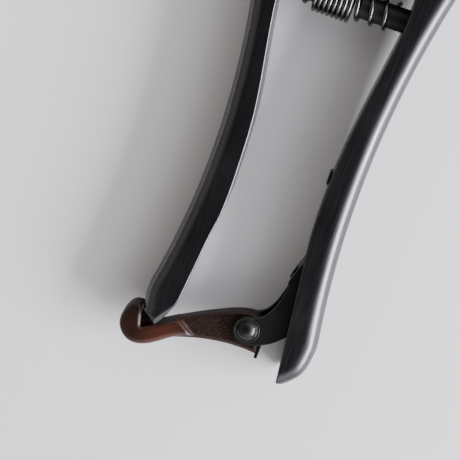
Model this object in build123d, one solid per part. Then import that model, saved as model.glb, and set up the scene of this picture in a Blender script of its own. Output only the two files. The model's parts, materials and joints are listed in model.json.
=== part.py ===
from build123d import *
import os
from math import cos, pi, radians, sin

# Bypass pruning shears, handles latched shut by a swinging catch at their ends.
# Millimetres. +Y points to the blade tips, +X to the handle that carries the catch, +Z up.
# The origin is on the pivot axis, on the flat underside of the pivot bolt's head.

# ---- heights of the pivot stack, from the resting face up ----
bolt_head_height = 2.4
washer_thickness = 0.6
lower_head_thickness = 3.2
hook_blade_thickness = 3.3
blade_gap = 0.05
cutting_blade_thickness = 3.2
upper_head_thickness = 3.7
spring_washer_thickness = 0.6
nut_height = 3.0
lock_plate_thickness = 2.2

lower_head_z = bolt_head_height + washer_thickness
hook_blade_z = lower_head_z + lower_head_thickness
shear_z = hook_blade_z + hook_blade_thickness
cutting_blade_z = shear_z + blade_gap
upper_head_z = cutting_blade_z + cutting_blade_thickness
head_top_z = upper_head_z + upper_head_thickness
nut_z = head_top_z + spring_washer_thickness

# ---- pivot ----
bolt_radius = 4.0
bolt_head_radius = 7.5
bushing_wall = 1.2
running_gap = 0.05
fit_gap = 0.02
head_radius = 13.0
head_gap = 0.5
nut_radius = 7.0
nut_notches = 24
notch_radius = 0.7
lock_tooth_radius = 0.5
lock_direction = -50.0
lock_screw_radius = 1.6
lock_screw_distance = 11.3
lock_screw_depth = 3.3

# ---- handles ----
handle_thickness = 14.0
handle_length = 145.2
grip_width = 8.8
back_rounding = 4.2
inner_rounding = 0.5
spring_drop = 39.4
seat_half_gap = 16.6
waist_share = 0.613
waist_half_gap = 12.25
flare_slope = 0.11
flare_length = 32.0
shoulder_half_width = 26.9
shoulder_drop = 30.0
end_half_width = 24.45
end_rise = 15.7
tip_width = 2.6
latched_shortfall = 4.3
latched_bow = 0.6
nose_rounding = 1.9
neck_half_gap = 1.6
neck_below_stop = 1.9
neck_corner = 3.0

handle_z = head_top_z - handle_thickness
mid_z = handle_z + handle_thickness / 2
spring_y = -spring_drop
waist_y = -waist_share * handle_length
tip_y = -handle_length
flare_y = tip_y + flare_length
end_half_gap = waist_half_gap + 1.35
latched_end_y = tip_y + latched_shortfall

# ---- blades ----
blade_tip_y = 58.0
blade_rivet_distance = 10.3
blade_rivet_radius = 1.8
blade_rivet_head_radius = 2.5
blade_rivet_head = 0.9
edge_overlap = 2.0
edge_bevel_width = 2.6

# ---- return spring and its pegs ----
peg_radius = 3.25
peg_length = 13.0
peg_seat_depth = 0.9
peg_stud_radius = 2.0
peg_stud_length = 4.5
wire_diameter = 1.15
tight_radius = 5.2
open_radius = 3.95
tight_left = -8.1
tight_right = 2.4
tight_turns = 8
open_left_turns = 2
open_right_turns = 3.5
points_per_turn = 10
peg_chamfer = 0.6

# ---- stop between the handles ----
stop_radius = 2.6
stop_below_head = 1.4
stop_depth = 4.0
stop_gap = 0.3

stop_drop = head_radius + head_gap + stop_radius + stop_below_head
neck_drop = stop_drop + stop_radius + neck_below_stop

# ---- catch at the handle ends ----
rivet_x = 4.7
rivet_up = 11.3
rivet_radius = 2.0
rivet_head_radius = 3.0
rivet_head_height = 1.7
rivet_tail_radius = 2.9
rivet_tail_height = 1.0
ear_radius = 3.8
ear_thickness = 1.6
bracket_width = 8.8
catch_width = 7.1
catch_plate_thickness = 4.7
catch_washer_thickness = 0.4
catch_side_gap = 0.1
foot_thickness = 0.9
foot_width = 8.0
foot_top_up = 61.0
foot_rivet_radius = 1.5
foot_rivet_head_radius = 2.4
foot_rivet_head_height = 0.6
foot_rivet_depth = 4.0
foot_rivet_lift = 0.2
upper_foot_rivet_up = 48.0
lower_foot_rivet_up = 16.5
web_thickness = 1.3
heel_plate_thickness = 0.9
heel_plate_width = 4.0
heel_plate_length = 7.8
heel_plate_drop = 3.9
heel_out = 4.4
hook_rounding = 1.5
hook_under_rounding = 2.0
hook_trim = 2.2
corner_web_height = 3.0

rivet_y = tip_y + rivet_up
ear_top_z = mid_z + bracket_width / 2
ear_bottom_z = mid_z - bracket_width / 2
plate_z = ear_bottom_z + ear_thickness + catch_side_gap
plate_top_z = plate_z + catch_plate_thickness


def cylinder(radius, low, high, x=0.0, y=0.0):
    """Upright cylinder between two heights."""
    disc = Pos(x, y, low) * Circle(radius)
    return extrude(disc, amount=high - low)


def ring(outer, inner, low, high):
    """Upright ring about the pivot axis."""
    return cylinder(outer, low, high) - cylinder(inner, low - 1, high + 1)


def cross_cylinder(radius, start_x, end_x, y, z):
    """Cylinder along X between two places."""
    low, high = sorted((start_x, end_x))
    plane = Plane(origin=(low, y, z), x_dir=(0, 1, 0), z_dir=(1, 0, 0))
    return extrude(plane * Circle(radius), amount=high - low)


def slab(face, low, high):
    """Flat outline made into a plate between two heights."""
    return extrude(Pos(0, 0, low) * face, amount=high - low)


def bow(side, share):
    """Extra sideways curve of the latched handle."""
    return latched_bow * share if side < 0 else 0.0


def seat_gap(side):
    """Distance from the middle plane to the handle's face at the spring."""
    return seat_half_gap + bow(side, 1.0)


def grip_inner_points(side):
    """Inner face of the grip, from the spring seat down to the flare, as distance from the middle."""
    seat = seat_gap(side)
    waist = waist_half_gap - bow(side, 0.3)
    return [
        (seat + 0.4, spring_y + 6.5),
        (seat, spring_y - 4.0),
        (seat - 1.6 - bow(side, 0.3), spring_y - 17.0),
        (waist + 0.75, waist_y + 15.0),
        (waist, waist_y),
        (waist + 0.55, (waist_y + flare_y) / 2 - 5.5),
        (end_half_gap, flare_y),
    ]


def grip_inner_edge(side, shift=0.0):
    """The same line as an edge, moved sideways by shift."""
    points = [(side * (x + shift), y) for x, y in grip_inner_points(side)]
    return Spline(points, tangents=[(side * 0.05, -1), (side * flare_slope, -1)])


def shoulder_edges(side):
    """Shoulder and back of the handle, from the head down to the end of the grip."""
    back_x = waist_half_gap + grip_width - bow(side, 0.7)
    shoulder_x = shoulder_half_width + bow(side, 1.0)
    shoulder_end = (side * shoulder_x, -shoulder_drop)
    grip_end = (side * (end_half_width + bow(side, 0.8)), tip_y + end_rise)
    back = ThreePointArc(shoulder_end, (side * back_x, waist_y + 4.0), grip_end)
    head_angle = radians(-7.0)
    head_point = (side * head_radius * cos(head_angle), head_radius * sin(head_angle))
    shoulder = Spline(
        [
            head_point,
            (side * 20.0, -5.5),
            (side * (shoulder_x - 1.0), -13.5),
            (side * (shoulder_x + 0.5), -21.5),
            shoulder_end,
        ],
        tangents=[(side * 1.0, -0.15), tuple(back % 0)[:2]],
    )
    return shoulder, back, head_point, grip_end


def neck_edges(side):
    """Inner side near the pivot: the stop lobe and the arch above the spring."""
    neck_x = side * neck_half_gap
    start = (neck_x, -(head_radius**2 - neck_half_gap**2) ** 0.5)
    short_way = neck_corner * (1 - 0.5**0.5)
    corner_top = (neck_x, -neck_drop + neck_corner)
    corner_end = (side * (neck_half_gap + neck_corner), -neck_drop)
    middle = (side * (neck_half_gap + short_way), -neck_drop + short_way)
    lobe_side = Line(start, corner_top)
    corner = ThreePointArc(corner_top, middle, corner_end)
    seat_x, seat_y = grip_inner_points(side)[0]
    arch = Spline(
        [corner_end, (side * 12.0, -neck_drop - 2.6), (side * seat_x, seat_y)],
        tangents=[(side * 1.0, 0.0), (side * 0.05, -1.0)],
    )
    return [lobe_side, corner, arch], start


def level(edge):
    """True for an edge that lies in one height."""
    return abs(edge.tangent_at(0.5).Z) < 0.01 and abs(edge.tangent_at(0.1).Z) < 0.01


def handle_blank(side, end_edges):
    """Full-height handle with its outer edges rounded over."""
    shoulder, back, head_point, grip_end = shoulder_edges(side)
    neck, neck_start = neck_edges(side)
    across_head = Line(neck_start, head_point)
    outline = neck + [grip_inner_edge(side)] + end_edges + [back, shoulder, across_head]
    grip = slab(make_face(Curve() + outline), handle_z, head_top_z)

    lowest_back = (grip_end[1] if side < 0 else tip_y + 12.0) - 5.0

    def outside(edge):
        centre = edge.center()
        return level(edge) and abs(centre.X) > 19.0 and lowest_back < centre.Y < -8.0

    def inside(edge):
        centre = edge.center()
        above_nose = side > 0 or centre.Y > latched_end_y + 8.0
        return level(edge) and above_nose and centre.Y < spring_y and abs(centre.X) < 18.6

    grip = fillet(grip.edges().filter_by(outside), back_rounding)
    grip = fillet(grip.edges().filter_by(inside), inner_rounding)
    return grip + cylinder(head_radius, handle_z, head_top_z)


def catch_handle_end():
    """Tapered end of the handle that carries the catch: straight inside, rounded outside."""
    inner_x = end_half_gap + flare_slope * flare_length
    inner_start = (end_half_gap, flare_y)
    inner_end = (inner_x, tip_y)
    outer_end = (inner_x + tip_width, tip_y)
    _, back, _, grip_end = shoulder_edges(1)
    inner = Line(inner_start, inner_end)
    tip = Line(inner_end, outer_end)
    outer = Spline(
        [outer_end, (23.3, tip_y + 4.2), (24.6, tip_y + 10.2), grip_end],
        tangents=[(1.0, 0.9), tuple((back % 1) * -1)[:2]],
    )
    return [inner, tip, outer]


def latched_nose():
    """Three places round the slanted nose: outer corner, lowest place, and inner side."""
    outer_corner = (-(end_half_width + 0.05), latched_end_y + 3.2)
    lowest = (-20.5, latched_end_y)
    inner_side = (-17.0, latched_end_y + 5.4)
    return outer_corner, lowest, inner_side


def edge_waste(start, end, bulge):
    """What is cut away to round the upper and lower edges between two places on an outline."""
    run_x, run_y = end[0] - start[0], end[1] - start[1]
    length = (run_x**2 + run_y**2) ** 0.5
    out_x, out_y = run_y / length, -run_x / length
    middle = ((start[0] + end[0]) / 2 + bulge * out_x, (start[1] + end[1]) / 2 + bulge * out_y)
    plane = Plane(
        origin=(middle[0], middle[1], head_top_z),
        x_dir=(out_x, out_y, 0),
        z_dir=(-run_x, -run_y, 0),
    )
    r = nose_rounding
    diagonal = r * (1 - 0.5**0.5)
    rounded = ThreePointArc((-r, 0), (-diagonal, -diagonal), (0, -r))
    around = Polyline([(0, -r), (2, -r), (2, 2), (-r, 2), (-r, 0)])
    upper = extrude(plane * make_face(Curve() + [rounded, around]), amount=length, both=True)
    return upper + mirror(upper, about=Plane(origin=(0, 0, mid_z)))


def latched_handle_end():
    """End of the other handle: rounded inside, with a slanted nose that the catch holds."""
    inner_start = (-end_half_gap, flare_y)
    inner_end = (-(end_half_gap + 1.9), latched_end_y + 10.0)
    outer_corner, nose, inner_side = latched_nose()
    _, _, _, grip_end = shoulder_edges(-1)
    inner = Line(inner_start, inner_end)
    rounding = Spline(
        [inner_end, inner_side, (nose[0] + 1.9, nose[1] + 1.8), nose],
        tangents=[(-flare_slope, -1.0), (-1.0, -0.45)],
    )
    facet = Line(nose, outer_corner)
    _, back, _, _ = shoulder_edges(-1)
    outer = Spline([grip_end, outer_corner], tangents=[tuple(back % 1)[:2], (0.22, -1.0)])
    return [inner, rounding, facet, outer]


def peg_socket(side):
    """Blind seat in a handle's inner face for a spring peg."""
    seat = side * (seat_gap(side) + peg_seat_depth)
    seat_end = side * (seat_gap(side) - 3.0)
    stud_end = side * (seat_gap(side) + peg_seat_depth + peg_stud_length + 0.2)
    flange = cross_cylinder(peg_radius + fit_gap, seat_end, seat, spring_y, mid_z)
    stud = cross_cylinder(peg_stud_radius + fit_gap, seat, stud_end, spring_y, mid_z)
    return flange + stud


def stop_socket(side):
    """Blind seat in the neck for a stop piece."""
    end = side * (neck_half_gap + stop_depth)
    return cross_cylinder(stop_radius + fit_gap, 0.0, end, -stop_drop, mid_z)


def blade_rivet_places(start_angle):
    """Two places on the head, on either side of the handle's own line."""
    angles = (radians(start_angle - 30.0), radians(start_angle + 30.0))
    return [(blade_rivet_distance * cos(a), blade_rivet_distance * sin(a)) for a in angles]


cutting_rivets_at = blade_rivet_places(100.0)
hook_rivets_at = blade_rivet_places(80.0)


def foot_band():
    """Strip along the inner face of the catch handle that holds the bracket's foot."""
    top_y = rivet_y + foot_top_up
    near = grip_inner_edge(1)
    far = grip_inner_edge(1, foot_thickness)
    closing = [Line(near @ 0, far @ 0), Line(near @ 1, far @ 1)]
    whole = make_face(Curve() + [near, far] + closing)
    window = Pos(waist_half_gap, (top_y + flare_y) / 2) * Rectangle(20.0, top_y - flare_y)
    low = mid_z - foot_width / 2
    return slab(whole & window, low, low + foot_width)


def foot_rivet_places():
    """Where the foot's rivets sit along the handle, and the face each head lies on."""
    upper_y = rivet_y + upper_foot_rivet_up
    lower_y = rivet_y + lower_foot_rivet_up
    return [(upper_y, inner_face_x(upper_y)), (lower_y, inner_face_x(lower_y) - web_thickness)]


def inner_face_x(y):
    """Sideways place of the catch handle's inner face at one height."""
    if y < flare_y:
        return end_half_gap + flare_slope * (flare_y - y)
    face = grip_inner_edge(1)
    low, high = 0.0, 1.0
    for _ in range(30):
        middle = (low + high) / 2
        low, high = (middle, high) if (face @ middle).Y > y else (low, middle)
    return (face @ low).X


def right_handle():
    """Handle of the cutting blade; it carries the catch."""
    body = handle_blank(1, catch_handle_end())
    body -= cylinder(head_radius + head_gap, handle_z - 1, upper_head_z)
    body -= cylinder(bolt_radius + fit_gap, handle_z - 1, head_top_z + 1)
    for x, y in cutting_rivets_at:
        body -= cylinder(blade_rivet_radius + fit_gap, handle_z, head_top_z + 1, x, y)
    x, y = lock_screw_place()
    body -= cylinder(lock_screw_radius + fit_gap, head_top_z - lock_screw_depth - 0.1, head_top_z + 1, x, y)
    body -= peg_socket(1)
    body -= stop_socket(1)
    body -= foot_band()
    for y, face_x in foot_rivet_places():
        end_x = face_x + foot_rivet_depth + 0.1
        body -= cross_cylinder(foot_rivet_radius + fit_gap, 8.0, end_x, y, mid_z)
    return body


def left_handle():
    """Handle of the hooked counter blade; its end is what the catch holds."""
    body = handle_blank(-1, latched_handle_end())
    outer_corner, nose, inner_side = latched_nose()
    body -= edge_waste(outer_corner, nose, 0.0)
    body -= edge_waste(nose, inner_side, 0.7)
    body -= cylinder(head_radius + head_gap, hook_blade_z, head_top_z + 1)
    body -= cylinder(head_radius + head_gap, handle_z - 1, lower_head_z)
    body -= cylinder(bolt_radius + running_gap + bushing_wall + fit_gap, handle_z, head_top_z)
    for x, y in hook_rivets_at:
        body -= cylinder(blade_rivet_radius + fit_gap, 0, head_top_z, x, y)
    body -= peg_socket(-1)
    body -= stop_socket(-1)
    return body


def cutting_edge(inset):
    """Curve of the cutting line, from the tip back to the head."""
    return ThreePointArc(
        (1.5 - inset, blade_tip_y - 1.6 * inset),
        (8.6 - inset, 36.0),
        (9.3 - inset, 9.0),
    )


def cutting_blade():
    """Broad convex blade, bevelled on its upper side."""
    edge = cutting_edge(0.0)
    back = ThreePointArc((-12.6, 3.0), (-11.3, 28.0), edge @ 0)
    base = Line(edge @ 1, (-12.6, 3.0))
    blade = slab(make_face(Curve() + [edge, back, base]), cutting_blade_z, upper_head_z)

    def upper_cutting_line(line):
        on_top = abs(line.center().Z - upper_head_z) < 0.01
        return on_top and line.center().X > 5.0 and line.length > 30.0

    bevel = blade.edges().filter_by(upper_cutting_line)
    blade = chamfer(bevel, cutting_blade_thickness - 0.5, edge_bevel_width)
    blade += cylinder(head_radius, cutting_blade_z, upper_head_z)
    blade -= cylinder(bolt_radius + fit_gap, 0, head_top_z)
    for x, y in cutting_rivets_at:
        blade -= cylinder(blade_rivet_radius + fit_gap, 0, head_top_z, x, y)
    return blade


def hook_blade():
    """Narrow curved counter blade that the cutting blade passes."""
    edge = cutting_edge(edge_overlap)
    tip = edge @ 0
    back = ThreePointArc((12.6, 2.5), (15.0, 30.0), (tip.X + 1.8, tip.Y + 0.6))
    nose = Line(back @ 1, tip)
    base = Line(edge @ 1, (12.6, 2.5))
    blade = slab(make_face(Curve() + [edge, nose, back, base]), hook_blade_z, shear_z)

    def lower_outer_line(line):
        low = abs(line.center().Z - hook_blade_z) < 0.01
        return low and line.length > 30.0 and line.center().X > 10.0

    blade = chamfer(blade.edges().filter_by(lower_outer_line), 0.8)
    blade += cylinder(head_radius, hook_blade_z, shear_z)
    blade -= cylinder(bolt_radius + running_gap + bushing_wall + fit_gap, 0, head_top_z)
    for x, y in hook_rivets_at:
        blade -= cylinder(blade_rivet_radius + fit_gap, 0, head_top_z, x, y)
    return blade


def blade_rivets():
    """Two rivets through the cutting blade and its handle, headed on top."""
    rivets = []
    for x, y in cutting_rivets_at:
        shank = cylinder(blade_rivet_radius, cutting_blade_z, head_top_z, x, y)
        head = cylinder(blade_rivet_head_radius, head_top_z, head_top_z + blade_rivet_head, x, y)
        rivets.append(shank + chamfer(head.edges().group_by(Axis.Z)[-1], 0.4))
    return Compound(rivets)


def hook_rivets():
    """Two rivets through the hook blade and its handle, headed underneath."""
    rivets = []
    for x, y in hook_rivets_at:
        shank = cylinder(blade_rivet_radius, lower_head_z, shear_z, x, y)
        head = cylinder(blade_rivet_head_radius, lower_head_z - blade_rivet_head, lower_head_z, x, y)
        rivets.append(shank + chamfer(head.edges().group_by(Axis.Z)[0], 0.4))
    return Compound(rivets)


def pivot_bolt():
    """Bolt with a flat round head below and its end flush in the nut."""
    head = cylinder(bolt_head_radius, 0, bolt_head_height)
    head = chamfer(head.edges().group_by(Axis.Z)[0], 0.6)
    shank = cylinder(bolt_radius, bolt_head_height, nut_z + nut_height - 0.4)
    shank = chamfer(shank.edges().group_by(Axis.Z)[-1], 0.5)
    slot = Pos(0, 0, nut_z + nut_height) * Box(2 * bolt_radius, 1.2, 3.0)
    return head + shank - slot


def thrust_washer():
    """Washer between the bolt's head and the lower handle head."""
    return ring(bolt_head_radius, bolt_radius + running_gap, bolt_head_height, lower_head_z)


def pivot_bushing():
    """Plain bearing pressed into the hook lever."""
    inner = bolt_radius + running_gap
    return ring(inner + bushing_wall, inner, lower_head_z, shear_z)


def spring_washer():
    """Washer under the nut."""
    return ring(nut_radius - 0.6, bolt_radius + running_gap, head_top_z, nut_z)


def notch_angles():
    """Directions of the notches round the nut."""
    return [radians(lock_direction) + 2 * pi * i / nut_notches for i in range(nut_notches)]


def pivot_nut():
    """Round nut with a notched rim."""
    nut = ring(nut_radius, bolt_radius + fit_gap, nut_z, nut_z + nut_height)
    nut = chamfer(nut.edges().group_by(Axis.Z)[-1].sort_by(SortBy.LENGTH)[-1], 0.5)
    for angle in notch_angles():
        x, y = nut_radius * cos(angle), nut_radius * sin(angle)
        nut -= cylinder(notch_radius, nut_z - 1, nut_z + nut_height + 1, x, y)
    return nut


def lock_screw_place():
    """Where the lock plate's screw enters the upper handle head."""
    angle = radians(lock_direction)
    return lock_screw_distance * cos(angle), lock_screw_distance * sin(angle)


def lock_plate():
    """Toothed plate that keeps the nut from turning."""
    low, high = head_top_z, head_top_z + lock_plate_thickness
    half_span = 360.0 / nut_notches * 1.4
    inner = nut_radius + 0.25
    outer = lock_screw_distance + 3.0
    sector_points = [(0.0, 0.0)]
    for turn in (-half_span, half_span):
        angle = radians(lock_direction + turn)
        sector_points.append((2 * outer * cos(angle), 2 * outer * sin(angle)))
    wedge = slab(make_face(Polyline(sector_points, close=True)), low, high)
    x, y = lock_screw_place()
    plate = ring(outer, inner, low, high) & wedge
    plate += cylinder(3.0, low, high, x, y)
    nut_space = cylinder(nut_radius + 0.25, low - 1, high + 1)
    plate -= nut_space
    tooth_low = nut_z + 0.1
    for step in (-1, 0, 1):
        angle = radians(lock_direction) + 2 * pi * step / nut_notches
        tooth_x, tooth_y = (nut_radius + 0.1) * cos(angle), (nut_radius + 0.1) * sin(angle)
        plate += cylinder(lock_tooth_radius, tooth_low, high, tooth_x, tooth_y)
    plate -= cylinder(lock_screw_radius + fit_gap, low - 1, high + 1, x, y)
    return plate


def lock_screw():
    """Slotted screw of the lock plate."""
    x, y = lock_screw_place()
    head_z = head_top_z + lock_plate_thickness
    shank = cylinder(lock_screw_radius, head_top_z - lock_screw_depth, head_z, x, y)
    head = cylinder(lock_screw_radius + 1.2, head_z, head_z + 1.4, x, y)
    head = chamfer(head.edges().group_by(Axis.Z)[-1], 0.4)
    slot = Pos(x, y, head_z + 1.4) * Rot(0, 0, lock_direction) * Box(8.0, 0.8, 1.4)
    return shank + head - slot


def spring_peg(side):
    """Peg that stands out of a handle and fills the end of the spring."""
    seat = side * (seat_gap(side) + peg_seat_depth)
    end = side * (seat_gap(side) - peg_length)
    stud_end = side * (seat_gap(side) + peg_seat_depth + peg_stud_length)
    body = cross_cylinder(peg_radius, end, seat, spring_y, mid_z)
    end_edge = body.edges().filter_by(GeomType.CIRCLE).sort_by(lambda e: side * e.center().X)[0]
    body = chamfer(end_edge, peg_chamfer)
    stud = cross_cylinder(peg_stud_radius, seat, stud_end, spring_y, mid_z)
    return body + stud


def smooth_step(value):
    """0 to 1 with level ends."""
    value = min(max(value, 0.0), 1.0)
    return value * value * (3 - 2 * value)


def spring_station(turn):
    """Place along the coil and coil radius after a number of turns."""
    end_inset = wire_diameter / 2 + 0.2
    end_left = end_inset - seat_gap(-1)
    end_right = seat_gap(1) - end_inset
    tight_start = open_left_turns
    tight_end = open_left_turns + tight_turns
    if turn < tight_start:
        along = end_left + (tight_left - end_left) * turn / open_left_turns
    elif turn < tight_end:
        along = tight_left + (tight_right - tight_left) * (turn - tight_start) / tight_turns
    else:
        along = tight_right + (end_right - tight_right) * (turn - tight_end) / open_right_turns
    swell = smooth_step(turn - tight_start + 0.6) * smooth_step(tight_end + 0.6 - turn)
    return along, open_radius + (tight_radius - open_radius) * swell


def return_spring():
    """Coil spring: close wide turns in the middle, open narrower turns on the pegs."""
    turns = open_left_turns + tight_turns + open_right_turns
    points = []
    for i in range(round(turns * points_per_turn) + 1):
        along, radius = spring_station(i / points_per_turn)
        angle = 2 * pi * i / points_per_turn
        points.append((along, spring_y + radius * cos(angle), mid_z + radius * sin(angle)))
    path = Spline(points)
    start = Plane(origin=path @ 0, z_dir=path % 0)
    return sweep(start * Circle(wire_diameter / 2), path=path, is_frenet=True)


def stop_cushion():
    """Rubber stop in the hook handle."""
    seat = -(neck_half_gap + stop_depth)
    face = -stop_gap / 2
    return cross_cylinder(stop_radius, seat, face, -stop_drop, mid_z)


def stop_button():
    """Steel stop that the cushion meets."""
    seat = neck_half_gap + stop_depth
    button = cross_cylinder(stop_radius, stop_gap / 2, seat, -stop_drop, mid_z)
    edge = button.edges().filter_by(GeomType.CIRCLE).sort_by(Axis.X)[0]
    return chamfer(edge, 0.4)


def ear_outline():
    """Side of the forked bracket, from the handle's face to round the catch rivet."""
    round_top = (rivet_x + 0.6, rivet_y + ear_radius - 0.1)
    round_left = (rivet_x - ear_radius, rivet_y - 0.3)
    round_bottom = (rivet_x + 0.8, rivet_y - ear_radius - 0.4)
    root_top = (end_half_gap + 0.4, flare_y + 5.5)
    root_bottom = (end_half_gap + 1.9, rivet_y + 1.7)
    inside_top = (root_top[0] + 3.0, root_top[1])
    inside_bottom = (root_bottom[0] + 2.0, root_bottom[1])
    back = Spline(
        [
            round_top,
            (rivet_x + 2.3, rivet_y + 4.4),
            (rivet_x + 5.4, rivet_y + 9.0),
            (rivet_x + 6.9, rivet_y + 16.0),
            root_top,
        ],
        tangents=[(1.0, 0.2), (0.35, 1.0)],
    )
    front = Spline([root_bottom, (rivet_x + 5.6, rivet_y - 2.6), round_bottom])
    nose = ThreePointArc(round_bottom, round_left, round_top)
    inner = Polyline([root_top, inside_top, inside_bottom, root_bottom])
    return make_face(Curve() + [back, inner, front, nose])


def catch_bracket():
    """Forked bracket with a long foot let into the handle's inner face."""
    outline = ear_outline()
    whole = slab(outline, ear_bottom_z, ear_top_z)
    web_places = [tip_y, flare_y, flare_y + 8.0]
    web_face = [(inner_face_x(y) - web_thickness, y) for y in web_places]
    slot_corners = [(-40.0, tip_y)] + web_face + [(-40.0, flare_y + 8.0)]
    slot_face = make_face(Polyline(slot_corners, close=True))
    slot = slab(slot_face, ear_bottom_z + ear_thickness, ear_top_z - ear_thickness)
    body = whole - slot
    body -= handle_blank(1, catch_handle_end())
    body += foot_band()
    body -= cylinder(rivet_radius + fit_gap, 0, head_top_z, rivet_x, rivet_y)
    for y, _ in foot_rivet_places():
        body -= cross_cylinder(foot_rivet_radius + fit_gap, 0.0, 20.0, y, mid_z)
    return body


def foot_rivets():
    """Two low-headed rivets that hold the foot to the handle."""
    rivets = []
    for y, face_x in foot_rivet_places():
        base = face_x - foot_rivet_lift
        if y < flare_y:
            base -= flare_slope * foot_rivet_head_radius
        shank = cross_cylinder(foot_rivet_radius, base, face_x + foot_rivet_depth, y, mid_z)
        head_x = base - foot_rivet_head_height
        head = cross_cylinder(foot_rivet_head_radius, head_x, base, y, mid_z)
        rim = head.edges().filter_by(GeomType.CIRCLE).sort_by(Axis.X)[0]
        rivets.append(shank + chamfer(rim, 0.4))
    return Compound(rivets)


def rivet_points(offsets):
    """Places given by their distances from the catch rivet."""
    return [(rivet_x + x, rivet_y + y) for x, y in offsets]


def catch_plate_face():
    """Flat part of the catch, from round the rivet to under the hook."""
    upper = Spline(
        rivet_points([(heel_out, 2.6), (0.0, 4.1), (-7.2, 1.9), (-13.3, -1.2), (-18.8, -4.3)])
    )
    lower = Spline(rivet_points([(-18.8, -10.0), (-12.0, -7.8), (-5.0, -6.5), (heel_out, -6.4)]))
    sides = [Line(upper @ 1, lower @ 0), Line(lower @ 1, upper @ 0)]
    return make_face(Curve() + [upper, lower] + sides)


def catch_hook_face():
    """Thick hooked end of the catch, with the notch that holds the handle's nose."""
    mouth, bottom = rivet_points([(-29.8, -3.3), (-28.3, -9.9)])
    floor = Spline([bottom] + rivet_points([(-25.2, -8.2), (-19.2, -4.4)]))
    step = Spline(rivet_points([(-19.2, -4.4), (-18.0, -4.7), (-16.0, -6.0), (-12.8, -7.5)]))
    belly = Spline(
        rivet_points(
            [
                (-12.8, -7.5),
                (-20.5, -10.9),
                (-25.5, -14.3),
                (-30.0, -15.0),
                (-34.0, -11.6),
                (-34.1, -6.8),
                (-32.0, -3.6),
            ]
        )
        + [mouth]
    )
    return make_face(Curve() + [Line(mouth, bottom), floor, step, belly])


def catch_lever():
    """Swinging catch: flat lever with a thick hook at its end."""
    plate = slab(catch_plate_face(), plate_z, plate_top_z)
    hook_top = plate_z + catch_width
    hook = slab(catch_hook_face(), plate_z, hook_top)
    long_lines = hook.edges().filter_by(lambda line: level(line) and line.length > 25.0)
    hook = fillet(long_lines.sort_by(Axis.Z)[-1], hook_rounding)
    long_lines = hook.edges().filter_by(lambda line: level(line) and line.length > 25.0)
    hook = fillet(long_lines.sort_by(Axis.Z)[0], hook_under_rounding)
    thin_end = Pos(rivet_x - 12.6, rivet_y - 7.5) * Rectangle(hook_trim, 4.0)
    hook -= slab(thin_end, plate_z - 1, hook_top + 1)
    corner = rivet_points([(-29.6, -5.6), (-28.1, -10.6), (-24.6, -8.4)])
    web = slab(make_face(Polyline(corner, close=True)), plate_z, plate_z + corner_web_height)
    lever = plate + hook + web
    return lever - cylinder(rivet_radius + running_gap, 0, head_top_z, rivet_x, rivet_y)


def catch_rivet():
    """Rivet that the catch turns on, domed on top."""
    shank = cylinder(rivet_radius, ear_bottom_z, ear_top_z, rivet_x, rivet_y)
    dome_radius = (rivet_head_radius**2 + rivet_head_height**2) / (2 * rivet_head_height)
    ball = Pos(rivet_x, rivet_y, ear_top_z + rivet_head_height - dome_radius) * Sphere(dome_radius)
    dome = ball & cylinder(rivet_head_radius + 1, ear_top_z, ear_top_z + 4, rivet_x, rivet_y)
    tail = cylinder(rivet_tail_radius, ear_bottom_z - rivet_tail_height, ear_bottom_z, rivet_x, rivet_y)
    tail = chamfer(tail.edges().group_by(Axis.Z)[0], 0.4)
    return shank + dome + tail


def catch_washer():
    """Friction washer between the catch and the upper ear."""
    low = plate_top_z + catch_side_gap
    high = low + catch_washer_thickness
    outer = cylinder(ear_radius - 0.5, low, high, rivet_x, rivet_y)
    return outer - cylinder(rivet_radius + running_gap, low - 1, high + 1, rivet_x, rivet_y)


def catch_heel_plate():
    """Thin metal plate standing at the heel of the catch."""
    low = mid_z - heel_plate_width / 2
    x = rivet_x + heel_out + heel_plate_thickness / 2
    outline = Pos(x, rivet_y - heel_plate_drop) * Rectangle(heel_plate_thickness, heel_plate_length)
    return slab(outline, low, low + heel_plate_width)


os.makedirs("parts", exist_ok=True)

pieces = {
    "right_handle": right_handle(),
    "left_handle": left_handle(),
    "cutting_blade": cutting_blade(),
    "hook_blade": hook_blade(),
    "blade_rivets": blade_rivets(),
    "hook_rivets": hook_rivets(),
    "pivot_bolt": pivot_bolt(),
    "thrust_washer": thrust_washer(),
    "pivot_bushing": pivot_bushing(),
    "spring_washer": spring_washer(),
    "pivot_nut": pivot_nut(),
    "lock_plate": lock_plate(),
    "lock_screw": lock_screw(),
    "right_spring_peg": spring_peg(1),
    "left_spring_peg": spring_peg(-1),
    "return_spring": return_spring(),
    "stop_cushion": stop_cushion(),
    "stop_button": stop_button(),
    "catch_bracket": catch_bracket(),
    "foot_rivets": foot_rivets(),
    "catch_lever": catch_lever(),
    "catch_rivet": catch_rivet(),
    "catch_washer": catch_washer(),
    "catch_heel_plate": catch_heel_plate(),
}

for name, piece in pieces.items():
    export_step(piece, f"parts/{name}.step")
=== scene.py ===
import json
import math
import bmesh
import bpy
from mathutils import Matrix, Vector


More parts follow.
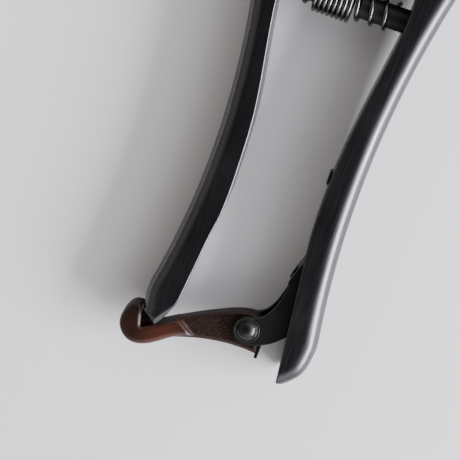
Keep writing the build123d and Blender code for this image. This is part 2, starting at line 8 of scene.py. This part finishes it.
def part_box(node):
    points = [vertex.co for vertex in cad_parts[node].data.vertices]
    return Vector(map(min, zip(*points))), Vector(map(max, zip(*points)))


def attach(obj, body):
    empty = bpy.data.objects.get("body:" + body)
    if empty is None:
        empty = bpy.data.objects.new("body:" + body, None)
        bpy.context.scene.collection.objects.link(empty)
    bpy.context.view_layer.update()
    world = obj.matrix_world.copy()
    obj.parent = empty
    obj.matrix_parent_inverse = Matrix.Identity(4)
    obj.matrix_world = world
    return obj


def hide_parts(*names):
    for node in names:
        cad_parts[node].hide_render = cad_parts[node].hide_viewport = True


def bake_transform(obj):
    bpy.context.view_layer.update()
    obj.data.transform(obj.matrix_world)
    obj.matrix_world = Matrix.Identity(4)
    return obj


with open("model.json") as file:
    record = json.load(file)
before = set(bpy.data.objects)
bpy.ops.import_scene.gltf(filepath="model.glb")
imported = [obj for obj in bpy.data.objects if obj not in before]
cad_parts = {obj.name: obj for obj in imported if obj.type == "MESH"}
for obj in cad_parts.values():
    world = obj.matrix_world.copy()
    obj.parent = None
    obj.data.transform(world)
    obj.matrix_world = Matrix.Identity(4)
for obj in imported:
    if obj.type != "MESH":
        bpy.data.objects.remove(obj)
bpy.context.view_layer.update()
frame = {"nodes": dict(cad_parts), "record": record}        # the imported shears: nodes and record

mm = 0.001


def quiet():
    if bpy.context.object and bpy.context.object.mode != "OBJECT":
        bpy.ops.object.mode_set(mode="OBJECT")
    bpy.ops.object.select_all(action="DESELECT")


class Value:  # wraps a socket, so shader maths reads as plain maths
    def __init__(self, nodes, socket):
        self.nodes = nodes
        self.socket = socket

    def _maths(self, operation, first, second=None):
        return self.nodes.node("ShaderNodeMath", {"operation": operation}, {0: first, 1: second})

    def __add__(self, other):
        return self._maths("ADD", self, other)

    def __radd__(self, other):
        return self._maths("ADD", other, self)

    def __sub__(self, other):
        return self._maths("SUBTRACT", self, other)

    def __rsub__(self, other):
        return self._maths("SUBTRACT", other, self)

    def __mul__(self, other):
        return self._maths("MULTIPLY", self, other)

    def __rmul__(self, other):
        return self._maths("MULTIPLY", other, self)


class Nodes:  # adds and joins nodes in one tree
    def __init__(self, tree):
        self.tree = tree

    def node(self, kind, settings=None, inputs=None, output=0):
        made = self.tree.nodes.new(kind)
        for key, value in (settings or {}).items():
            if key == "stops":
                ramp = made.color_ramp
                while len(ramp.elements) < len(value):
                    ramp.elements.new(0.5)
                for element, (position, shade) in zip(ramp.elements, value):
                    element.position = position
                    element.color = shade if isinstance(shade, tuple) else (shade, shade, shade, 1)
            else:
                setattr(made, key, value)
        for key, value in (inputs or {}).items():
            if value is not None:
                self.feed(made.inputs[key], value)
        return Value(self, made.outputs[output])

    def feed(self, socket, value):
        if isinstance(value, Value):
            self.tree.links.new(value.socket, socket)
        elif isinstance(value, bpy.types.NodeSocket):
            self.tree.links.new(value, socket)
        elif socket.type == "RGBA" and len(value) == 3:
            socket.default_value = (*value, 1)
        else:
            socket.default_value = value

    def mix(self, factor, first, second):
        return self.node("ShaderNodeMix", {"data_type": "RGBA"}, {0: factor, 6: first, 7: second}, 2)


class Look(Nodes):  # one material and the few moves used to build it
    def __init__(self, name):
        self.material = bpy.data.materials.new(name)
        self.material.use_nodes = True
        super().__init__(self.material.node_tree)
        self.shader = self.tree.nodes["Principled BSDF"]
        self.place = self.tree.nodes.new("ShaderNodeTexCoord").outputs["Object"]

    def set(self, **sockets):
        for name, value in sockets.items():
            self.feed(self.shader.inputs[name.replace("_", " ")], value)

    def stretched(self, scale, turn=0.0, shift=(0, 0, 0)):
        inputs = {"Vector": self.place, "Scale": scale, "Rotation": (0, 0, turn), "Location": shift}
        return self.node("ShaderNodeMapping", None, inputs)

    def part(self, axis, vector=None):
        return self.node("ShaderNodeSeparateXYZ", None, {0: vector or self.place}, axis)

    def noise(self, scale, detail=3.0, rough=0.55, vector=None):
        inputs = {"Vector": vector or self.place, "Scale": scale, "Detail": detail, "Roughness": rough}
        return self.node("ShaderNodeTexNoise", {"noise_dimensions": "3D"}, inputs)

    def ramp(self, value, stops):
        return self.node("ShaderNodeValToRGB", {"stops": stops}, {0: value})

    def cells(self, scale):
        return self.node("ShaderNodeTexVoronoi", None, {"Vector": self.place, "Scale": scale})

    def facing(self):
        return self.node("ShaderNodeNewGeometry", output="Normal")

    def cornerMask(self, radius, sharpness):  # 0 on flat ground, 1 on outside and inside corners
        rounded = self.node("ShaderNodeBevel", {"samples": 4}, {"Radius": radius})
        normals = {0: rounded, 1: self.facing()}
        turned = self.node("ShaderNodeVectorMath", {"operation": "DOT_PRODUCT"}, normals, "Value")
        return self.node("ShaderNodeClamp", None, {"Value": (1 - turned) * sharpness})

    def bump(self, height, distance, strength=1.0, soften=0.0):
        inputs = {"Height": height, "Distance": distance, "Strength": strength}
        if soften:
            inputs["Normal"] = self.node("ShaderNodeBevel", {"samples": 8}, {"Radius": soften})
        self.feed(self.shader.inputs["Normal"], self.node("ShaderNodeBump", None, inputs))


# handle metal: dark anodised forging, brushed along its length, rubbed lighter on its corners
gunmetalPiece = {
    "deep": (0.05, 0.05, 0.054), "pale": (0.10, 0.101, 0.109), "rubbed": (0.28, 0.28, 0.29),
    "roughness": 0.265, "brush": 2300,
}


def brushedGunmetal():
    look = Look("brushed_gunmetal")
    lengthwise = look.stretched((1, 0.03, 1))
    fine = look.noise(gunmetalPiece["brush"], 3, 0.62, lengthwise)
    coarse = look.noise(520, 2, 0.5, look.stretched((1, 0.05, 1), shift=(0.3, 0.1, 0)))
    cloud = look.noise(45, 4, 0.55)
    scratch = look.ramp(look.noise(900, 2, 0.8, look.stretched((1, 0.012, 1))), ((0.66, 0.0), (0.74, 1.0)))
    corner = look.cornerMask(0.00045, 9.0)
    patchy = look.ramp(look.noise(240, 4, 0.7), ((0.35, 0.15), (0.65, 1.0)))
    wear = corner * patchy
    base = look.mix(fine * 0.6 + cloud * 0.4, gunmetalPiece["deep"], gunmetalPiece["pale"])
    base = look.mix(scratch * 0.22, base, gunmetalPiece["rubbed"])
    base = look.mix(wear * 0.75, base, gunmetalPiece["rubbed"])
    roughness = fine * 0.16 + cloud * 0.08 + (gunmetalPiece["roughness"] - 0.1) - wear * 0.05
    look.set(Base_Color=base, Metallic=1.0, Roughness=roughness)
    look.bump(fine * 0.6 + coarse * 0.4, 0.000026, 0.6, 0.0003)
    return look.material


steelPiece = {
    "dark": (0.36, 0.36, 0.38), "light": (0.62, 0.62, 0.64), "stain": (0.20, 0.17, 0.15),
    "edge": (0.8, 0.8, 0.82), "grindTurn": 0.9,
}


def groundSteel():  # surface ground across the blade, with faint storage stains
    look = Look("ground_steel")
    across = look.stretched((0.02, 1, 1), turn=steelPiece["grindTurn"])
    lines = look.noise(1900, 4, 0.6, across)
    broad = look.noise(260, 2, 0.5, across)
    cloud = look.noise(38, 4, 0.6)
    spots = look.ramp(look.noise(420, 5, 0.75), ((0.60, 0.0), (0.72, 1.0)))
    corner = look.cornerMask(0.0003, 8.0)
    base = look.mix(lines * 0.7 + broad * 0.3, steelPiece["dark"], steelPiece["light"])
    base = look.mix(spots * cloud * 0.35, base, steelPiece["stain"])
    base = look.mix(corner * 0.6, base, steelPiece["edge"])
    look.set(Base_Color=base, Metallic=1.0, Roughness=lines * 0.18 + spots * 0.1 + 0.2)
    look.bump(lines, 0.00002, 0.6, 0.00015)
    return look.material


blackPiece = {"deep": (0.004, 0.004, 0.0045), "dusty": (0.010, 0.010, 0.011), "rubbed": (0.10, 0.10, 0.105)}


def blackOxide(name="black_oxide", sheen=0.34, wornness=0.45):  # oiled black oxide over stamped steel
    look = Look(name)
    grain = look.noise(2600, 4, 0.65)
    cloud = look.noise(130, 4, 0.6)
    pits = look.ramp(look.cells(1500), ((0.05, 0.0), (0.35, 1.0)))
    corner = look.cornerMask(0.0003, 7.0) * look.ramp(look.noise(500, 4, 0.7), ((0.38, 0.0), (0.62, 1.0)))
    base = look.mix(cloud, blackPiece["deep"], blackPiece["dusty"])
    base = look.mix(corner * wornness, base, blackPiece["rubbed"])
    look.set(Base_Color=base, Metallic=0.35, Roughness=grain * 0.16 + cloud * 0.12 + (sheen - 0.14))
    look.bump(grain * 0.6 + pits * 0.4, 0.00003, 0.45, 0.0003)
    return look.material


wirePiece = {"dark": (0.065, 0.063, 0.062), "bright": (0.17, 0.168, 0.168), "roughness": 0.2}


def drawnWire():  # drawn spring wire: dull oxide film with bright rubbed tops
    look = Look("drawn_wire")
    film = look.noise(420, 4, 0.65)
    fine = look.noise(3600, 3, 0.6)
    base = look.mix(film * 0.75 + fine * 0.25, wirePiece["dark"], wirePiece["bright"])
    look.set(Base_Color=base, Metallic=1.0, Roughness=film * 0.14 + wirePiece["roughness"] - 0.05)
    look.bump(fine, 0.00001, 0.4)
    return look.material


bronzePiece = {"warm": (0.46, 0.27, 0.11), "brown": (0.22, 0.12, 0.05)}


def turnedBronze():
    look = Look("turned_bronze")
    rings = look.noise(1700, 3, 0.6, look.stretched((0.3, 0.3, 1)))
    cloud = look.noise(160, 4, 0.6)
    look.set(Base_Color=look.mix(cloud, bronzePiece["brown"], bronzePiece["warm"]), Metallic=1.0,
             Roughness=rings * 0.2 + 0.28)
    look.bump(rings, 0.00002, 0.5)
    return look.material


# The arm-band and edge colours are painted highlights: lighter, redder tones standing in for light catching the
# hook's rounded arm and edges.
catchPiece = {
    "deep": (0.008, 0.0042, 0.0036), "warm": (0.024, 0.0098, 0.0072), "paintedArmShine": (0.052, 0.0165, 0.0115),
    "edge": (0.10, 0.034, 0.021),
    "roughness": 0.2, "raise": 0.0024,
    "panel": (0.0185, 0.0045), "paintedShineReach": (0.0265, 0.0175),  # reach from the rivet, in metres
}


def between(look, value, low, high, soft):  # 1 where a value lies between two limits
    rise = {"Value": value, "From Min": low - soft, "From Max": low + soft}
    fall = {"Value": value, "From Min": high + soft, "From Max": high - soft}
    return look.node("ShaderNodeMapRange", None, rise) * look.node("ShaderNodeMapRange", None, fall)


def moulded():  # glossy brown moulding with a stippled sunk panel; the lighter, redder band along the arm and the lighter, redder edges are painted highlights
    look = Look("brown_moulding")
    swirl = look.noise(70, 4, 0.6, look.stretched((0.4, 1, 1), turn=0.35))
    fine = look.noise(2400, 3, 0.6)
    rubLines = look.noise(800, 3, 0.8, look.stretched((0.05, 1, 1), turn=0.5))
    rubs = look.ramp(rubLines, ((0.64, 0.0), (0.74, 1.0)))
    corner = look.cornerMask(0.0012, 3.0)
    across, up = look.part("X"), look.part("Z")
    rivetLow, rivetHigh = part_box("catch_rivet")
    rivetX = (rivetLow.x + rivetHigh.x) / 2
    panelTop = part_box("catch_lever")[1].z - catchPiece["raise"]
    panelFrom, panelTo = (rivetX - reach for reach in catchPiece["panel"])
    paintedShineFrom, paintedShineTo = (rivetX - reach for reach in catchPiece["paintedShineReach"])
    sunk = between(look, up, panelTop - 0.0002, panelTop + 0.0002, 0.00005)
    sunk = sunk * between(look, across, panelFrom, panelTo, 0.0012)
    grain = look.ramp(look.cells(1250), ((0.1, 1.0), (0.55, 0.0)))
    base = look.mix(swirl, catchPiece["deep"], catchPiece["warm"])
    # painted highlight: a lighter, redder band along the arm stands in for light catching its rounded top
    paintedArmShine = between(look, across, paintedShineFrom, paintedShineTo, 0.003) * (0.55 + swirl * 0.6)
    base = look.mix(paintedArmShine * (1 - sunk), base, catchPiece["paintedArmShine"])
    # painted highlight: lighter, redder corners stand in for the reflection of the bright floor along the
    # rounded edges
    base = look.mix(corner * 0.45, base, catchPiece["edge"])
    base = look.mix(sunk * grain * 0.4, base, catchPiece["deep"])
    upright = 1 - look.part("Z", look.facing())
    roughness = fine * 0.06 + rubs * 0.12 + sunk * (grain * 0.16 + 0.1) + upright * 0.3
    roughness = roughness + catchPiece["roughness"] - 0.03
    look.set(Base_Color=base, Metallic=0.0, Roughness=roughness, Specular_IOR_Level=0.4)
    look.bump(fine * 0.1 + swirl * 0.2 + sunk * grain, 0.00009, 0.6, 0.0018)
    return look.material


rubberPiece = {"deep": (0.012, 0.012, 0.012), "dusty": (0.03, 0.029, 0.028)}


def softRubber():
    look = Look("soft_rubber")
    bloom = look.noise(300, 4, 0.6)
    base = look.mix(bloom, rubberPiece["deep"], rubberPiece["dusty"])
    look.set(Base_Color=base, Roughness=bloom * 0.2 + 0.6)
    look.bump(look.noise(2500, 3, 0.6), 0.00003, 0.5)
    return look.material


slotLooks = {
    "handle_metal": brushedGunmetal(),
    "blade_steel": groundSteel(),
    "dark_steel": blackOxide(),
    "spring_steel": drawnWire(),
    "bearing_bronze": turnedBronze(),
    "catch_plastic": moulded(),
    "stop_rubber": softRubber(),
}
matteBlack = blackOxide("matte_black", 0.5, 0.12)
ownLooks = {
    "catch_rivet": blackOxide("polished_black", 0.26, 0.15),
    "right_spring_peg": matteBlack,
    "left_spring_peg": matteBlack,
}
for entry in frame["record"]["subparts"]:
    node = frame["nodes"][entry["node"]]
    node.data.materials.clear()
    node.data.materials.append(ownLooks.get(entry["node"], slotLooks[entry["material_slot"]]))
print("materials ready")

springPiece = {
    "wire": 1.15, "open": 3.95, "tight": 5.2, "tightFrom": -8.1, "tightTo": 2.4,
    "leftTurns": 2, "tightTurns": 8, "rightTurns": 3.0, "rightBare": 1.9, "pointsPerTurn": 16,
}


def smooth(value):
    value = min(max(value, 0.0), 1.0)
    return value * value * (3 - 2 * value)


def springPoint(turn, leftEnd, rightEnd, y, z):
    piece = springPiece
    tightStart = piece["leftTurns"]
    tightEnd = tightStart + piece["tightTurns"]
    tightFrom, tightTo = piece["tightFrom"] * mm, piece["tightTo"] * mm
    if turn < tightStart:
        along = leftEnd + (tightFrom - leftEnd) * turn / tightStart
    elif turn < tightEnd:
        along = tightFrom + (tightTo - tightFrom) * (turn - tightStart) / piece["tightTurns"]
    else:
        along = tightTo + (rightEnd - tightTo) * (turn - tightEnd) / piece["rightTurns"]
    swell = smooth(turn - tightStart + 0.6) * smooth(tightEnd + 0.6 - turn)
    radius = (piece["open"] + (piece["tight"] - piece["open"]) * swell) * mm
    angle = 2 * math.pi * turn
    return along, y + radius * math.cos(angle), z + radius * math.sin(angle)


def makeSpring():  # one wire: open turns on the pegs, close wider turns between them
    low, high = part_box("return_spring")
    pegLow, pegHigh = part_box("right_spring_peg")
    y, z = (pegLow.y + pegHigh.y) / 2, (pegLow.z + pegHigh.z) / 2
    half = springPiece["wire"] * mm / 2
    turns = springPiece["leftTurns"] + springPiece["tightTurns"] + springPiece["rightTurns"]
    rightEnd = high.x - half - springPiece["rightBare"] * mm  # the coil stops short of the handle
    count = round(turns * springPiece["pointsPerTurn"]) + 1
    coil = bpy.data.curves.new("return_coil", "CURVE")
    coil.dimensions = "3D"
    coil.bevel_depth = half
    coil.bevel_resolution = 5
    coil.use_fill_caps = True
    line = coil.splines.new("NURBS")
    line.points.add(count - 1)
    for index in range(count):
        place = springPoint(index / springPiece["pointsPerTurn"], low.x + half, rightEnd, y, z)
        line.points[index].co = (*place, 1)
    line.order_u = 4
    line.use_endpoint_u = True
    line.resolution_u = 2
    wire = bpy.data.objects.new("return_coil", coil)
    bpy.context.scene.collection.objects.link(wire)
    quiet()
    wire.select_set(True)
    bpy.context.view_layer.objects.active = wire
    bpy.ops.object.convert(target="MESH")
    wire = bpy.context.active_object
    wire.name = "return_coil"
    bpy.ops.object.shade_smooth_by_angle(angle=math.radians(40))
    wire.data.materials.clear()
    wire.data.materials.append(slotLooks["spring_steel"])
    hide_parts("return_spring")
    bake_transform(wire)


collarPiece = {
    "outside": 3.65, "height": 0.32, "rim": 0.34, "edge": 0.05,
    "groove": 0.14, "slope": 0.12, "grooveFloor": 0.2,
}


def facesWhere(piece, test):  # selects faces in edit mode by their place or direction
    bpy.ops.object.mode_set(mode="EDIT")
    bpy.ops.mesh.select_mode(type="FACE")
    bpy.ops.mesh.select_all(action="DESELECT")
    shape = bmesh.from_edit_mesh(piece.data)
    for face in shape.faces:
        face.select = test(face)
    bmesh.update_edit_mesh(piece.data)


def settle(piece, look, body):  # puts a finished piece in its place in the frame
    bpy.ops.object.mode_set(mode="OBJECT")
    bpy.ops.object.transform_apply(location=True, rotation=True, scale=True)
    bpy.ops.object.shade_smooth_by_angle(angle=math.radians(35))
    piece.data.materials.clear()
    piece.data.materials.append(look)
    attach(piece, body)


def makeRivetCollar():  # thin turned collar that the catch's rivet is closed on
    low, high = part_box("catch_rivet")
    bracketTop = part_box("catch_bracket")[1].z
    centre = ((low.x + high.x) / 2, (low.y + high.y) / 2)
    tall = collarPiece["height"] * mm
    quiet()
    bpy.ops.mesh.primitive_cylinder_add(vertices=96, radius=collarPiece["outside"] * mm, depth=tall,
                                        location=(*centre, bracketTop + tall / 2))
    collar = bpy.context.active_object
    collar.name = "rivet_collar"
    facesWhere(collar, lambda face: face.normal.z > 0.9)
    bpy.ops.mesh.inset(thickness=collarPiece["rim"] * mm, depth=0)
    bpy.ops.mesh.inset(thickness=collarPiece["slope"] * mm, depth=-collarPiece["groove"] * mm)
    bpy.ops.mesh.inset(thickness=collarPiece["grooveFloor"] * mm, depth=0)
    bpy.ops.mesh.inset(thickness=collarPiece["slope"] * mm, depth=collarPiece["groove"] * mm)
    bpy.ops.object.mode_set(mode="OBJECT")
    edge = collar.modifiers.new("edge", "BEVEL")
    edge.width = collarPiece["edge"] * mm
    edge.segments = 3
    edge.limit_method = "ANGLE"
    edge.angle_limit = math.radians(28)
    bpy.ops.object.modifier_apply(modifier="edge")
    settle(collar, slotLooks["dark_steel"], "blade_lever")


makeSpring()
makeRivetCollar()
print("spring and rivet collar ready")

floorPiece = {"size": 3.0, "below": 0.02, "colour": (0.815, 0.81, 0.842), "roughness": 0.5}


def makeFloor():  # a plane that touches the bolt's head and both handle ends
    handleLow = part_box("right_handle")[0]
    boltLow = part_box("pivot_bolt")[0]
    lean = math.atan2(handleLow.z, boltLow.y - handleLow.y)
    place = (0, boltLow.y, -floorPiece["below"] * mm)
    quiet()
    bpy.ops.mesh.primitive_plane_add(size=floorPiece["size"], location=place, rotation=(-lean, 0, 0))
    floor = bpy.context.active_object
    floor.name = "floor"
    look = Look("pale_floor")
    soft = look.noise(6, 3, 0.5)
    colour = floorPiece["colour"]
    dimmer = tuple(part * 0.985 for part in colour)
    look.set(Base_Color=look.mix(soft, colour, dimmer), Roughness=floorPiece["roughness"])
    floor.data.materials.append(look.material)


lightPiece = {
    "windowPlace": (0.82, -0.15, 0.345), "windowSize": (0.9, 0.30), "windowPower": 29,
    "windowColour": (0.96, 0.975, 1.0), "overhead": (0.075, 0.075, 0.08), "skirting": (0.10, 0.098, 0.095),
    "darkSide": (0.62, 0.565, 0.51), "brightSide": (2.6, 2.57, 2.64),
}


def makeWindow():
    light = bpy.data.lights.new("window", "AREA")
    light.shape = "RECTANGLE"
    light.size, light.size_y = lightPiece["windowSize"]
    light.energy = lightPiece["windowPower"]
    light.color = lightPiece["windowColour"]
    lamp = bpy.data.objects.new("window", light)
    bpy.context.scene.collection.objects.link(lamp)
    lamp.location = lightPiece["windowPlace"]
    towards = Vector((0, -0.09, 0)) - lamp.location
    lamp.rotation_euler = towards.to_track_quat("-Z", "Y").to_euler()


def makeRoom():  # walls are bright to the right and dim to the left, dark overhead and low down
    world = bpy.data.worlds.new("room")
    bpy.context.scene.world = world
    world.use_nodes = True
    room = Nodes(world.node_tree)
    way = room.node("ShaderNodeTexCoord", output="Generated")

    def rise(axis, low, high):
        part = room.node("ShaderNodeSeparateXYZ", None, {0: way}, axis)
        limits = {"Value": part, "From Min": low, "From Max": high}
        return room.node("ShaderNodeMapRange", {"interpolation_type": "SMOOTHSTEP"}, limits)

    walls = room.mix(rise("X", -0.55, 0.85), lightPiece["darkSide"], lightPiece["brightSide"])
    walls = room.mix(rise("Z", 0.0, 0.36), lightPiece["skirting"], walls)
    walls = room.mix(rise("Z", 0.66, 0.93), walls, lightPiece["overhead"])
    room.feed(world.node_tree.nodes["Background"].inputs["Color"], walls)


cameraPiece = {
    "place": (1.323 * mm, 20.634 * mm, 470.275 * mm),
    "target": (-8.961 * mm, -110.29 * mm, 7 * mm),
    "up": (-0.3203, 0.9473, 0),
    "focal": 1736.3 / 460 * 36,
}


def makeCamera():
    place, target = Vector(cameraPiece["place"]), Vector(cameraPiece["target"])
    backward = (place - target).normalized()
    up = Vector(cameraPiece["up"])
    up = (up - backward * up.dot(backward)).normalized()
    right = up.cross(backward)
    camera = bpy.data.cameras.new("camera")
    camera.lens = cameraPiece["focal"]
    camera.sensor_width = 36
    camera.clip_start = 0.01
    holder = bpy.data.objects.new("camera", camera)
    bpy.context.scene.collection.objects.link(holder)
    turn = Matrix((right, up, backward)).transposed().to_4x4()
    holder.matrix_world = Matrix.Translation(place) @ turn
    bpy.context.scene.camera = holder


makeFloor()
makeWindow()
makeRoom()
makeCamera()
print("floor, light and camera ready")
